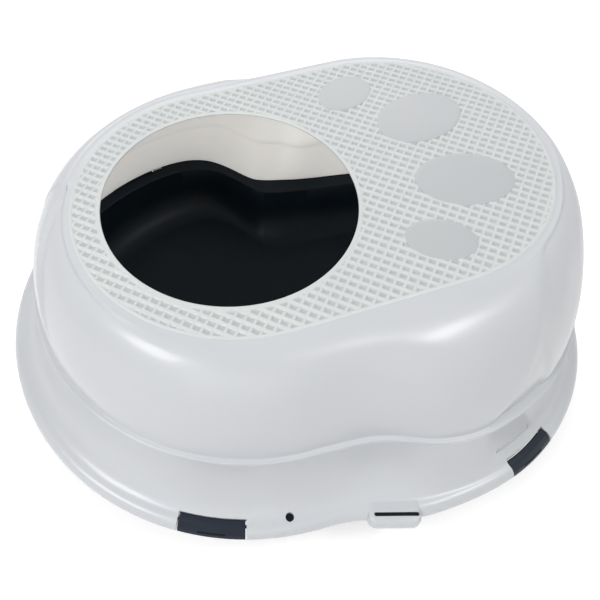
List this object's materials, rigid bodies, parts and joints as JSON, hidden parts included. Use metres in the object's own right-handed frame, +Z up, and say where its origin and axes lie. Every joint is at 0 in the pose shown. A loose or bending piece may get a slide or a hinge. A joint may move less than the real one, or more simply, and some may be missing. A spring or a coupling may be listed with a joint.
{
  "type": "top entry litter box",
  "caption": "Low top entry litter box: a two-lobed hood with a round entry hole in a ribbed top, clipped to a shallow tray by hinged latches.",
  "frame": {"origin": "on the ground, on the long axis of the larger lobe, 54.5 mm from that lobe's centre towards the smaller one, which is within 2 mm of the middle of the body's length", "axes": "+X along the body towards the end with the toe pads, -Y towards the front, +Z up"},
  "size_m": [0.6189, 0.4926, 0.2364],
  "materials": {
    "pearl_plastic": "gloss",
    "navy_plastic": "satin"
  },
  "bodies": {
    "tray": {"tray": "navy_plastic"},
    "hood": {"hood": "pearl_plastic"},
    "latch_front_left": {"latch_front_left": "navy_plastic"},
    "latch_front_right": {"latch_front_right": "navy_plastic"},
    "latch_rear_left": {"latch_rear_left": "navy_plastic"},
    "latch_rear_right": {"latch_rear_right": "navy_plastic"}
  },
  "joints": [
    {"name": "hood_lift", "type": "slide", "parent": "tray", "child": "hood", "axis": [0, 0, 1], "range_m": [0, 0.26]},
    {"name": "latch_front_left_hinge", "type": "hinge", "parent": "hood", "child": "latch_front_left", "pos_m": [-0.08706, -0.24081, 0.06405], "axis": [-0.991, 0.134, 0], "range_deg": [0, 95]},
    {"name": "latch_front_right_hinge", "type": "hinge", "parent": "hood", "child": "latch_front_right", "pos_m": [0.21716, -0.17419, 0.06405], "axis": [-0.7869, -0.617, 0], "range_deg": [0, 95]},
    {"name": "latch_rear_left_hinge", "type": "hinge", "parent": "hood", "child": "latch_rear_left", "pos_m": [-0.19733, 0.19659, 0.06405], "axis": [0.809, 0.5878, 0], "range_deg": [0, 95]},
    {"name": "latch_rear_right_hinge", "type": "hinge", "parent": "hood", "child": "latch_rear_right", "pos_m": [0.22836, 0.15478, 0.06405], "axis": [0.7431, -0.6691, 0], "range_deg": [0, 95]}
  ]
}
